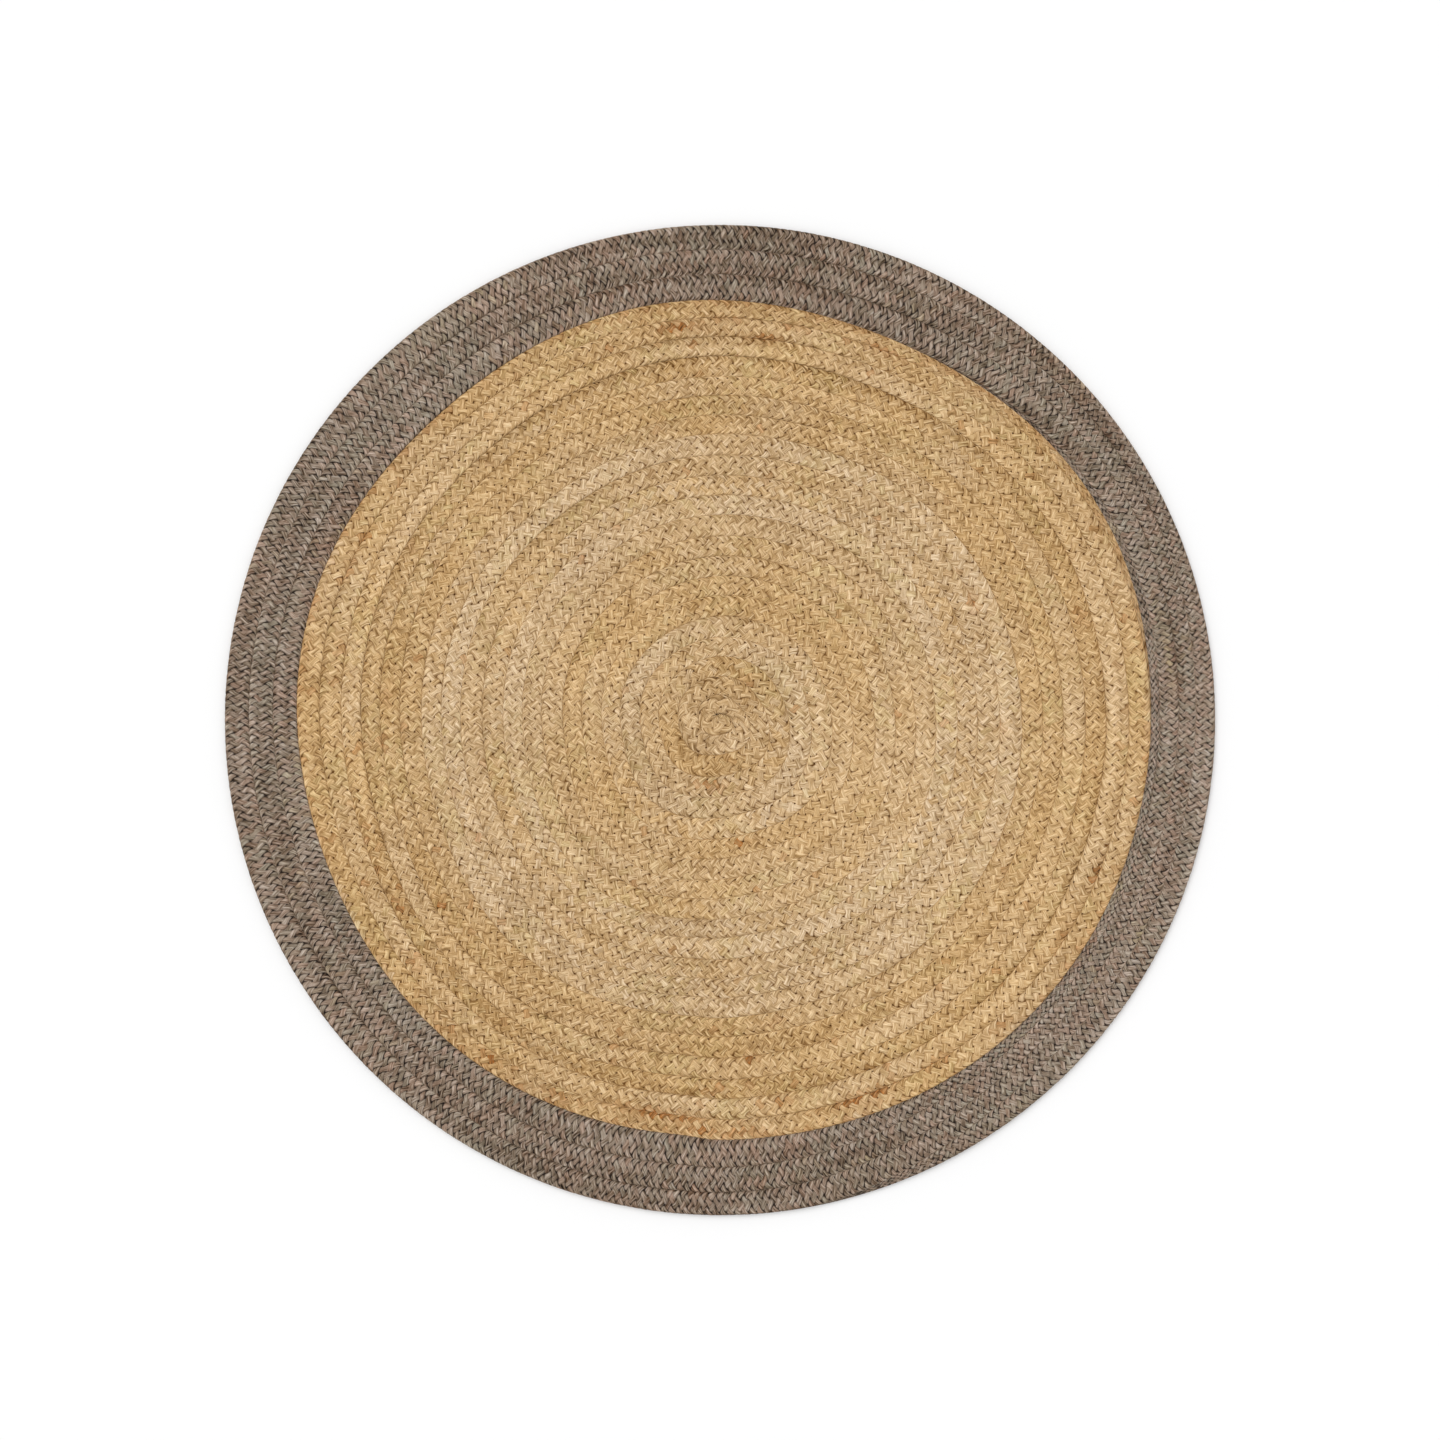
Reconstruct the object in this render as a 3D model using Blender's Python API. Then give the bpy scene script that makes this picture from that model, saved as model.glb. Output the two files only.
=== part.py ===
"""Round braided jute rug with a grey border, lying flat on the floor.

Metres, +Z up. The origin is the centre of the underside, and +Y is the top of
the rug as seen from above. Two pieces: the natural braid coiled into the field,
and the grey braid coiled and sewn round it as the border.
"""
import math

import bmesh
import bpy

# Driving dimensions.
DIAMETER = 1.200
THICKNESS = 0.008
SEAM_GAP = 0.0003
SEGMENTS = 96

# The line where the field meets the border.
FIELD_MEAN_RADIUS = 0.512
JOIN_ANGLE = math.radians(267.0)
JOIN_STEP = 0.003
JOIN_SHARPNESS = math.radians(2.5)
JOIN_REACH = math.radians(10.0)

# The field is pulled a little out of round: waves per turn, swing, angle of the first crest.
FIELD_SWINGS = (
    # (waves, swing in metres, crest in degrees)
    (1, 0.0067, 354.0),
    (2, 0.0055, 2.0),
    (3, 0.0010, 24.0),
    (4, 0.0007, 20.0),
    (5, 0.0033, 25.0),
    (6, 0.0012, 40.0),
)

# One long ridge, where a turn of the braid stands proud of the turn inside it. It runs
# clockwise once round the field and swings outwards by one turn early on. Angles are in
# turns clockwise from the join, and distances are shares of the way to the field's edge.
RIDGE_FROM = 0.20
RIDGE_TO = 1.18
RIDGE_FADE = 0.12
RIDGE_LIFT = 0.0012
RIDGE_FIRST_SHARE = 0.868
RIDGE_LAST_SHARE = 0.915
RIDGE_SWING_FROM = 0.28
RIDGE_SWING_TO = 0.57
RIDGE_HALF_WIDTH_SHARE = 0.036

# Rings of the field's top face, as shares of the way to its edge.
FLAT_CENTRE_SHARE = 0.15
FIELD_RING_SHARES = (0.40, 0.62, 0.80, 0.83, 0.855, 0.88, 0.905, 0.93, 0.96)
SHOULDER_WIDTH = 0.003
SHOULDER_DROP = 0.0015

# The rim is the rounded side of the outermost braid.
RIM_ROUND = 0.003
RIM_STEPS = 6

NATURAL_JUTE = (0.578, 0.376, 0.171, 1.0)
GREY_JUTE = (0.205, 0.171, 0.141, 1.0)
JUTE_ROUGHNESS = 0.9


def clear_scene():
    """Remove every object that is already in the file."""
    for existing in list(bpy.data.objects):
        bpy.data.objects.remove(existing, do_unlink=True)


def jute(name, colour):
    """A dry, matt jute finish."""
    material = bpy.data.materials.new(name)
    material.use_nodes = True
    shader = material.node_tree.nodes["Principled BSDF"]
    shader.inputs["Base Color"].default_value = colour
    shader.inputs["Roughness"].default_value = JUTE_ROUGHNESS
    shader.inputs["Metallic"].default_value = 0.0
    return material


def signed_turn(angle):
    """The angle brought into the half turn on either side of zero."""
    return (angle + math.pi) % math.tau - math.pi


def field_radius(angle):
    """Distance from the centre to the line where natural braid meets grey braid."""
    radius = FIELD_MEAN_RADIUS
    for waves, swing, crest in FIELD_SWINGS:
        radius += swing * math.cos(waves * (angle - math.radians(crest)))
    past_join = signed_turn(angle - JOIN_ANGLE)
    step = math.tanh(past_join / JOIN_SHARPNESS) * math.exp(-abs(past_join) / JOIN_REACH)
    return radius + JOIN_STEP * step


def ease(share):
    """An easy rise from 0 to 1."""
    share = min(max(share, 0.0), 1.0)
    return share * share * (3.0 - 2.0 * share)


def fade(value, start, end, width):
    """1 between start and end, easing to 0 over the given width at both."""
    return ease(min((value - start) / width, (end - value) / width))


def ridge_lift(share, angle):
    """Height of the raised turn above the flat top, at a share of the way to the field's edge."""
    clockwise = ((JOIN_ANGLE - angle) % math.tau) / math.tau
    lift = 0.0
    for turn in (clockwise, clockwise + 1.0):
        swung = ease((turn - RIDGE_SWING_FROM) / (RIDGE_SWING_TO - RIDGE_SWING_FROM))
        crest = RIDGE_FIRST_SHARE + (RIDGE_LAST_SHARE - RIDGE_FIRST_SHARE) * swung
        off_crest = (share - crest) / RIDGE_HALF_WIDTH_SHARE
        if abs(off_crest) < 1.0:
            bump = math.cos(0.5 * math.pi * off_crest) ** 2
            lift = max(lift, bump * fade(turn, RIDGE_FROM, RIDGE_TO, RIDGE_FADE))
    return RIDGE_LIFT * lift


def ring(mesh, radius_at, height_at):
    """A closed ring of points round the centre, its radius and height given at each angle."""
    points = []
    for index in range(SEGMENTS):
        angle = math.tau * index / SEGMENTS
        radius = radius_at(angle)
        place = (radius * math.cos(angle), radius * math.sin(angle), height_at(angle))
        points.append(mesh.verts.new(place))
    return points


def bridge(mesh, first, second):
    """Join two rings with a band of faces."""
    for index in range(SEGMENTS):
        following = (index + 1) % SEGMENTS
        mesh.faces.new((first[index], first[following], second[following], second[index]))


def level(height):
    """A height that is the same at every angle."""
    return lambda angle: height


def add_piece(name, mesh, material):
    """Turn finished geometry into a named object with its material."""
    bmesh.ops.recalc_face_normals(mesh, faces=mesh.faces)
    data = bpy.data.meshes.new(name)
    mesh.to_mesh(data)
    mesh.free()
    data.materials.append(material)
    data.shade_smooth()
    data.set_sharp_from_angle(angle=math.radians(40.0))
    piece = bpy.data.objects.new(name, data)
    bpy.context.collection.objects.link(piece)
    return piece


def build_field():
    """The natural braid: a flat, slightly out-of-round disc with one low ridge."""
    mesh = bmesh.new()
    shoulder_share = 1.0 - SHOULDER_WIDTH / FIELD_MEAN_RADIUS
    rings = [ring(mesh, field_radius, level(0.0))]
    rings.append(ring(mesh, field_radius, level(THICKNESS - SHOULDER_DROP)))
    for share in (shoulder_share, *reversed(FIELD_RING_SHARES), FLAT_CENTRE_SHARE):
        rings.append(
            ring(
                mesh,
                lambda angle, share=share: share * field_radius(angle),
                lambda angle, share=share: THICKNESS + ridge_lift(share, angle),
            )
        )
    for outer, inner in zip(rings, rings[1:]):
        bridge(mesh, outer, inner)
    mesh.faces.new(rings[0])
    mesh.faces.new(rings[-1])
    return add_piece("natural_field", mesh, jute("natural_jute", NATURAL_JUTE))


def build_border():
    """The grey braid: a flat ring whose outer edge is a true circle with a rounded rim."""
    mesh = bmesh.new()

    def inner_edge(angle):
        return field_radius(angle) + SEAM_GAP

    def inner_shoulder(angle):
        return inner_edge(angle) + SHOULDER_WIDTH

    outer = DIAMETER / 2.0
    rings = [
        ring(mesh, inner_edge, level(0.0)),
        ring(mesh, inner_edge, level(THICKNESS - SHOULDER_DROP)),
        ring(mesh, inner_shoulder, level(THICKNESS)),
    ]
    for step in range(RIM_STEPS + 1):
        turned = math.pi * step / RIM_STEPS
        radius = outer - RIM_ROUND * (1.0 - math.sin(turned))
        height = 0.5 * THICKNESS * (1.0 + math.cos(turned))
        rings.append(ring(mesh, level(radius), level(height)))
    for first, second in zip(rings, rings[1:]):
        bridge(mesh, first, second)
    bridge(mesh, rings[-1], rings[0])
    return add_piece("grey_border", mesh, jute("grey_jute", GREY_JUTE))


clear_scene()
build_field()
build_border()
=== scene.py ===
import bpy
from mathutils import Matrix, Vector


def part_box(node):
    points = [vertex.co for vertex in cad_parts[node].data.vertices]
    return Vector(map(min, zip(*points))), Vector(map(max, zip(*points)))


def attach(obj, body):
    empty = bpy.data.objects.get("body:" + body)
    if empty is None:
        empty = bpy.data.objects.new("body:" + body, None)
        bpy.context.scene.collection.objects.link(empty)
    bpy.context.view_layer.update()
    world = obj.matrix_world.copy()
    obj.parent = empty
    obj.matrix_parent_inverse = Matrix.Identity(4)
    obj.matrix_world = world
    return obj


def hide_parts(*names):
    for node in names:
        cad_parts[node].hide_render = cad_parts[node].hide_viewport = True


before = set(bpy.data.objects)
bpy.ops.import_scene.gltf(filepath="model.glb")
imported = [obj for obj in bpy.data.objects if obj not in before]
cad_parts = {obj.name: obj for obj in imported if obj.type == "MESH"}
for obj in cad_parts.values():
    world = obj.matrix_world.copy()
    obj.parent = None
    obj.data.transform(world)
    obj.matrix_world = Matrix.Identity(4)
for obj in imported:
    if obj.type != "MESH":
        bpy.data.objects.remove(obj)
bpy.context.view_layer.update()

import math

import bpy
import numpy as np

# Looks of the round braided jute rug. Metres, +Z up, +Y towards the top of the rug as
# seen from above, the underside on the floor at z = 0. A flat plait of five strands is
# coiled clockwise from the middle, first the natural one and then the grey one. Turns
# are counted outwards from the inner end of the natural plait.

bl_info = {
    "name": "Round braided rug",
    "version": (1, 0, 0),
    "blender": (4, 5, 0),
    "location": "3D View > Sidebar > Rug",
    "description": "Coils flat jute plaits into a round rug with a grey border",
    "category": "Add Mesh",
}

# The line where the natural plait meets the grey one, as in the part.
FIELD_MEAN_RADIUS = 0.512
JOIN_ANGLE = math.radians(267.0)
JOIN_STEP = 0.003
JOIN_SHARPNESS = math.radians(2.5)
JOIN_REACH = math.radians(10.0)
FIELD_SWINGS = (
    # (waves, swing in metres, crest in degrees)
    (1, 0.0067, 354.0),
    (2, 0.0055, 2.0),
    (3, 0.0010, 24.0),
    (4, 0.0007, 20.0),
    (5, 0.0033, 25.0),
    (6, 0.0012, 40.0),
)

# The coils: first and last turn, and over how many turns each end narrows to nothing, with
# the power of the narrowing. The turns sway off true circles.
NATURAL_TURNS = (-0.395, 20.75)
NATURAL_TAPERS = ((0.3, 1.0), (0.4, 0.5))
GREY_TURNS = (21.57, 24.97)
GREY_TAPERS = ((0.55, 0.5), (0.1, 1.0))
CENTRE_HOLE = 0.0006
CENTRE_SHIFT = (-0.0042, 0.0067)
CENTRE_SHIFT_FADE = 8.0
NATURAL_SWAYS = (
    # (waves, swing in metres, crest in degrees, twist over the radius in radians)
    (1, 0.0034, 107.0, 0.0),
    (2, 0.0047, 62.0, 0.0),
    (3, 0.0016, 348.0, 0.0),
    (4, 0.0031, 54.0, 0.0),
    (5, 0.0004, 290.0, -7.0),
    (8, 0.0003, 330.0, 11.0),
)
GREY_SWAYS = (
    (1, 0.0011, 96.0, 0.0),
    (2, 0.0032, 60.0, 0.0),
    (3, 0.0027, 31.0, 0.0),
    (4, 0.0013, 1.0, 0.0),
    (5, 0.0010, 38.0, 0.0),
)
WIDTH_UNEVENNESS = 0.07
WIDTH_WAVES_PER_TURN = 4.0
EDGE_PRESS = 0.0007
NARROWEST_HALF = 0.0012
SAMPLES_PER_TURN = 240
WIDTH_SAMPLES = 400
# Keeps a whole number of turns from rounding down.
WHOLE_TURN_ROOM = 1e-9

# A plait narrower than its full width is thinner and has shallower gaps.
FULL_WIDTH = 0.020
LEAST_FULLNESS = 0.25
THINNEST_SHARE = 0.55

# Noise along a line repeats after this many swings.
NOISE_KNOTS = 4096

# Seeds of the random draws: one for each coil, and what each draw adds to it.
NATURAL_SEED, GREY_SEED = 11, 12
SLOW_SEED, QUICK_SEED, PATCH_SEED, BALE_SEED, MOOD_SEED, HUE_SEED, STRIPE_SEED = range(1, 8)
PULL_SEED, KNOB_SEED, LINE_SEED = range(20, 23)
LOBE_SEED, TINT_SEED, SLANT_SEED = 100, 200, 300

# How far apart strands, columns and edges read the same noise, so that they don't repeat.
STRAND_APART = 613.0
COLUMN_APART = 211.0
EDGE_APART = 37.0

# The five-strand flat plait. Its surface has ten columns of lobes: four on top, one round
# the outer edge, four below and one round the inner edge. Along a lobe's strand the column
# number rises for RISING and falls for FALLING.
COLUMNS = 10
STRANDS = 5
LOBES_ACROSS = 4.0
OUTER_EDGE = COLUMNS / 2
RISING, FALLING = 0, 1
LEAN = np.array((0, 0, 1, 0, 1, 1, 1, 0, 1, 0))
STRAND_ORDER = np.array((9, 0, 7, 2, 5, 4, 3, 6, 1, 8))
FINE_STEPS = 4
FINE_PLACES = np.array((0.0, 0.16, 0.5, 0.84, 1.0))
POINTS_AROUND = COLUMNS * FINE_STEPS // 2
UNDERSIDE_COLUMNS = (6, 7, 8, 9)
SECTION_SQUARENESS = 2.6
LOBE_SQUARENESS = 4
STRAND_BULGE = 0.17
LOBE_UNEVENNESS = 0.18
CORNER_JITTER = 0.09
# Rows of random draws past both ends of the plait, and how many of them come first.
SPARE_ROWS = 16
SPARE_ROWS_BEFORE = 6

# Height of the creases beside a lobe and of its corners, as a share of the lobe's own, each
# with the most that it gapes and how rare a wide gape is. Where a lobe dives under its
# neighbour it ends lower than the creases by BURIED_DROP.
BURIED_DROP = 0.2
NATURAL_GAPS = ((0.74, 0.42, 2.4), (0.50, 1.00, 1.5))
GREY_GAPS = ((0.66, 0.50, 1.6), (0.35, 1.00, 0.9))

# Painted shade in the pits where four lobes meet: the deepest, how rare a deep one is, and their
# reach along and across the strand as a share of a lobe.
NATURAL_PITS = (0.60, 2.6)
GREY_PITS = (0.95, 1.2)
PIT_REACH = (0.45, 0.15)

# The seam between two turns is pulled tight in some places and gapes in others: its depth in both,
# which sets the painted shade along it. A turn also gets painted shade on its edges and painted
# light on its middle, as if rounded. In the field's outer turns seams and rounding are stronger.
SEAM_WAVE = 0.20
SEAM_SWING = 0.7
NATURAL_SEAM = (0.00, 0.20)
GREY_SEAM = (0.0, 0.28)
SEAM_DARKNESS = 0.5
SEAM_SPREAD = 1.5
OUTER_SEAMS = 0.45
OUTER_SEAMS_FROM, OUTER_SEAMS_OVER = 9.0, 9.0
TURN_ROUNDING_SHADE = 0.055
GREY_ROUNDING_SHADE = 0.9
DEEPEST_CREASE = 1.5
DARK_SPOT_DEPTH = 0.8

# Where a plait narrows at its end, its strands draw together into knobs, which get painted shade as
# deep creases.
THIN_KNOB_SHADE = 0.9
KNOB_WAVE = 0.0045

# Painted shade: a grey turn is darker along its seams and its middle, where the strands dive under,
# and painted lighter between.
GREY_LINE_SHADE = 0.07
GREY_LINE_WAVE = 0.12

# Painted light: the yarn is painted palest on two opposite sides of the rug, and more so on one of
# them, as the light falls across the weave.
LIT_SIDE = math.radians(340.0)
BOTH_SIDES_LIT = 0.09
ONE_SIDE_LIT = 0.05
FIELD_LIT_SHARE = 0.4

# Turns that stand proud of their inner neighbour, with a painted highlight on their crest, and the
# neighbour sunk with painted shade beside them.
# Places across the plait are shares of its width, from the inner edge outwards.
PROUD_TURNS = (
    # (from turn, to turn, lift in metres, painted highlight on the crest, painted shade inside it)
    (17.20, 18.18, 0.0010, 0.11, 0.16),
    (18.44, 18.52, 0.0004, 0.05, 0.12),
    (18.74, 18.84, 0.0004, 0.04, 0.12),
    (15.74, 16.20, 0.0005, 0.05, 0.07),
    (15.52, 15.60, 0.0003, 0.02, 0.07),
    (14.98, 15.11, 0.0003, 0.02, 0.08),
    (12.34, 12.47, 0.0004, 0.07, 0.07),
    (12.66, 12.72, 0.0003, 0.02, 0.09),
    (9.97, 10.06, 0.0004, 0.08, 0.07),
    (9.50, 9.76, 0.0004, 0.04, 0.10),
    (7.22, 7.35, 0.0002, 0.02, 0.06),
    (4.06, 4.17, 0.0002, 0.02, 0.07),
    (3.79, 3.95, 0.0003, 0.02, 0.10),
    (1.85, 2.00, 0.0002, 0.02, 0.07),
)
PROUD_FADE = 0.05
PROUD_TILT_FROM, PROUD_TILT = 1.15, 1.1
PROUD_CREST, PROUD_CREST_REACH = 0.34, 0.34
SUNK_SHARE = 0.5
SUNK_FROM, SUNK_OVER = 0.35, 0.6
SHADED_FROM, SHADED_OVER = 0.30, 0.55

# The natural yarn changes from bale to bale as the plait grows.
YARN_BALES = (
    # (up to turn, gold share, lightness)
    (1.6, 0.55, -0.090),
    (2.6, 0.75, -0.110),
    (3.4, 0.35, -0.015),
    (4.7, 0.20, 0.015),
    (5.2, 0.45, 0.005),
    (7.7, 0.75, -0.005),
    (8.8, 0.60, -0.005),
    (10.2, 0.40, 0.005),
    (11.0, 0.05, 0.065),
    (11.6, 0.60, -0.005),
    (12.0, 0.05, 0.055),
    (13.0, 0.50, -0.005),
    (13.5, 0.10, 0.055),
    (13.9, 0.45, 0.015),
    (14.4, 0.15, 0.035),
    (15.6, 0.70, -0.040),
    (16.1, 0.95, -0.050),
    (17.4, 0.65, -0.020),
    (18.1, 0.95, -0.050),
    (19.4, 0.60, -0.050),
    (21.1, 0.75, -0.060),
)

# Stains, dark spots and their places. A stain's strength is the share of its colour, or for a pale
# one the lightness that it adds. Dark spots are drawn as deeper creases, so they take the painted
# shade of the hollows.
MILLIMETRES = 1000.0
RUST_STAINS = (
    # (angle in degrees, then in millimetres the distance from the middle, the length along
    # the plait and the width across it, and the strength)
    (84, 466, 40, 8, 0.50),
    (96, 478, 50, 12, 0.48),
    (79, 483, 30, 7, 0.42),
    (89, 486, 30, 8, 0.42),
    (66, 490, 50, 8, 0.42),
    (153, 484, 30, 8, 0.42),
    (158, 484, 30, 7, 0.40),
    (210, 449, 24, 7, 0.38),
    (213, 404, 30, 8, 0.48),
    (218, 473, 26, 7, 0.38),
    (228, 497, 30, 7, 0.42),
    (236, 494, 44, 9, 0.55),
    (248, 495, 50, 8, 0.55),
    (261, 484, 90, 10, 0.70),
    (269, 499, 110, 7, 0.45),
    (268, 450, 22, 7, 0.45),
    (275, 411, 18, 7, 0.50),
    (279, 469, 26, 7, 0.40),
    (291, 489, 90, 9, 0.65),
    (302, 491, 44, 7, 0.42),
    (313, 500, 40, 7, 0.42),
    (318, 449, 22, 8, 0.42),
    (328, 490, 40, 8, 0.48),
    (338, 491, 30, 8, 0.44),
    (28, 506, 34, 6, 0.42),
    (16, 454, 28, 9, 0.40),
    (25, 338, 24, 8, 0.40),
    (332, 391, 20, 7, 0.35),
    (280, 370, 24, 7, 0.38),
    (184, 410, 22, 7, 0.36),
    (176, 405, 22, 7, 0.34),
    (358, 344, 22, 7, 0.34),
    (281, 152, 30, 7, 0.55),
    (53, 59, 16, 7, 0.60),
    (264, 81, 36, 7, 0.60),
    (285, 48, 22, 6, 0.35),
)
PALE_STAINS = (
    (181, 242, 30, 12, 0.10),
    (270, 506, 60, 8, 0.10),
    (341, 432, 60, 9, 0.10),
    (334, 430, 50, 9, 0.09),
    (103, 254, 26, 11, 0.09),
    (245, 109, 30, 9, 0.09),
    (283, 348, 44, 8, 0.09),
    (276, 352, 40, 8, 0.09),
    (18, 482, 40, 9, 0.10),
    (358, 474, 90, 9, 0.09),
    (320, 36, 40, 16, 0.12),
)
BLEACHED_EDGES = (
    (208, 504, 80, 6, 0.9),
    (315, 515, 40, 5, 0.9),
    (37, 519, 70, 6, 0.8),
    (2, 520, 90, 6, 0.9),
    (289, 508, 40, 5, 0.8),
    (157, 509, 40, 5, 0.7),
    (217, 506, 40, 5, 0.8),
)
RED_STAINS = (
    (275, 564, 30, 10, 0.55),
    (279, 564, 20, 8, 0.40),
    (267, 572, 26, 10, 0.45),
    (87, 591, 30, 8, 0.45),
    (91, 562, 20, 8, 0.40),
    (329, 524, 30, 7, 0.55),
    (326, 524, 20, 6, 0.50),
    (131, 508, 20, 6, 0.50),
    (121, 508, 20, 6, 0.45),
    (112, 511, 30, 6, 0.40),
    (87, 512, 30, 6, 0.40),
    (304, 538, 20, 8, 0.40),
    (5, 556, 30, 9, 0.40),
    (8, 560, 24, 7, 0.35),
)
STRAW_STAINS = (
    (11, 547, 110, 6, 0.75),
    (333, 570, 30, 7, 0.55),
    (288, 560, 30, 6, 0.45),
    (337, 524, 24, 6, 0.45),
    (26, 530, 20, 6, 0.50),
    (186, 513, 20, 6, 0.45),
    (308, 592, 30, 6, 0.40),
    (153, 514, 20, 6, 0.50),
)
DARK_SPOTS = (
    # (angle in degrees, distance from the middle and reach in millimetres)
    (342, 491, 2.4),
    (314, 515, 2.8),
    (179, 509, 2.4),
    (4, 517, 2.8),
    (123, 486, 2.4),
    (333, 125, 2.4),
    (102, 442, 2.4),
    (207, 455, 3.1),
    (259, 484, 2.4),
    (347, 489, 2.1),
    (338, 486, 2.1),
    (211, 492, 2.1),
    (69, 502, 2.1),
    (136, 485, 2.1),
    (191, 225, 2.2),
    (322, 386, 2.1),
    (252, 100, 2.1),
)

# Yarn tints: how long the waves of the noise are, in metres or for the bales in turns, and
# how far each noise swings the share of a colour or the lightness. Slow, quick and patch
# noises run along a strand, stripes along a column of lobes and moods along the whole
# plait, and lobe noises change from lobe to lobe.
SLOW_WAVE, QUICK_WAVE, PATCH_WAVE, STRIPE_WAVE = 0.16, 0.045, 0.11, 0.13
SLOW_LIGHT, QUICK_LIGHT, LOBE_LIGHT, STRIPE_LIGHT = 0.02, 0.03, 0.05, 0.09
BALE_WAVE, BALE_BLUR, BALE_CHANGE = 0.5, 0.45, 0.30
GOLD_WAVE, GOLD_MOOD, GOLD_QUICK = 0.07, 0.27, 0.12
STAIN_SHARE, STAIN_LOBE, LEAST_STAIN, MOST_STAIN = 1.4, 1.2, 0.1, 2.2
RUSTY_JOIN, RUSTY_JOIN_SHARE, RUSTY_JOIN_LOBE = 0.014, 0.12, 0.34
RARE_FLECK, FLECK_SHARE, FLECK_LOBE = 0.985, 0.28, 0.2
OUTER_FLECKS, OUTER_FLECKS_FROM, OUTER_FLECKS_OVER = 0.06, 15.0, 5.0
RUST_DARKNESS = 0.22
BLEACHED_LIGHT = 0.05
OLIVE_WAVE, OLIVE_MOOD, OLIVE_SLOW, OLIVE_LOBE = 0.05, 0.30, 0.15, 0.18
OLIVE_LESS, MOST_OLIVE = 0.08, 0.6
BROWN_WAVE, BROWN_SHARE, BROWN_MOOD, BROWN_SLOW, BROWN_LOBE = 0.10, 0.30, 0.12, 0.12, 0.25
RED_BROWN, RED_DARKNESS = 1.5, 0.20
STRAW_FROM, STRAW_STRENGTH, MOST_STRAW, STRAW_LOBE = 0.80, 1.6, 0.3, 0.4
MOSS_WAVE, MOSS_SHARE, MOSS_MOOD, MOSS_LOBE, MOST_MOSS = 0.06, 0.14, 0.14, 0.25, 0.8
GREY_CONTRAST, GREY_STRIPE_LIGHT = 1.6, 0.09

# The fibres' map is in strand widths. Each pass of a strand reads its own stretch of it.
FIBRE_SLANT = 0.30
PASS_APART, PASS_STRETCHES = 3.0, 997

# The map for baking the materials to pictures: strips side by side, and room for the two caps.
BAKE_MAP = "OFBake"
FIBRE_MAP = "fibre"
BAKE_STRIPS = 12
BAKE_MARGIN = 0.006
CAP_ROOM = 0.030
CAP_HEIGHTS = (0.25, 0.75)
CAP_REACH = 0.35
CAP_CREASE = 0.6
CAP_TINT = 0.5

# Fibres within a strand: length of a speckle along and across it in strand widths, detail,
# and how far it swings the lightness.
FIBRE_LAYERS = {
    "clump": (1.6, 0.60, 0.0, 0.12),
    "bundle": (1.5, 0.30, 1.0, 0.38),
    "yarns": (1.1, 0.13, 1.0, 0.28),
    "fine": (0.8, 0.045, 2.0, 0.14),
}
FIBRE_ROUGHNESS = 0.6
YARNS_PER_STRAND = 3
# How strong the fibres' contrast is, and how fast red, green and blue fall off in the shade.
NATURAL_CONTRAST, NATURAL_DEPTHS = 1.0, (0.85, 1.05, 1.42)
BORDER_CONTRAST, GREY_DEPTHS = 1.3, (0.90, 1.04, 1.22)
# Those with four numbers: a range of a noise or a crease, and the range it is brought to.
YARN_SWAY = (0.3, 0.7, -0.5, 0.5)
# The grooves between the yarns of a strand carry painted shade.
GROOVE_BREAKS = (0.35, 0.65, 0.15, 1.0)
GROOVE_SHARPNESS, GROOVE_DARKNESS = 2.0, 0.16
BROAD_SCALE, BROAD_DETAIL = 7.0, 2.0
BROAD_LIGHT = (0.3, 0.7, -0.04, 0.04)
RAGGED_STAIN = (0.35, 0.65, 0.4, 1.3)
LAYER_FROM, LAYER_TO = 0.25, 0.75
# A painted highlight on the crests where the bundles are bright, and painted shade in the hollows.
CREST_PAINTED_HIGHLIGHT = (0.0, 0.35, 0.45, 0.0)
HIGHLIGHTED_BUNDLES = (0.50, 0.72, 0.0, 1.0)
HOLLOW_PAINTED_SHADE = (0.38, 1.05, 0.0, 0.97)
FIBRE_GLOSS = (0.3, 0.7, 0.92, 0.72)
SPECULAR, SHEEN, SHEEN_ROUGHNESS = 0.15, 0.03, 0.5
BUMP_YARNS, BUMP_STRENGTH, BUMP_HEIGHT = 1.5, 0.8, 0.0006

# The stage.
FLOOR_WIDTH, FLOOR_CLOUDS, FLOOR_ROUGHNESS = 60.0, 3.0, 0.8
FLOOR_DULL, FLOOR_BRIGHT = (0.95, 0.95, 0.95), (0.97, 0.97, 0.97)
SKY_COLOUR, SKY_STRENGTH = (1.0, 1.0, 1.0, 1.0), 0.72
LAMP_PLACE = (-1.2, 1.6, 3.0)
LAMP_ANGLE = math.radians(50.0)
LAMP_STRENGTH = 1.25
CAMERA_LENS = 50.0
CAMERA_SENSOR = 36.0
PHOTO_WIDTH = 1.742


def srgb(red, green, blue):
    """A colour given as 0 to 255 on screen, as the shader's own linear numbers."""
    shares = (value / 255.0 for value in (red, green, blue))
    return tuple(s / 12.92 if s <= 0.04045 else ((s + 0.055) / 1.055) ** 2.4 for s in shares)


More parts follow.
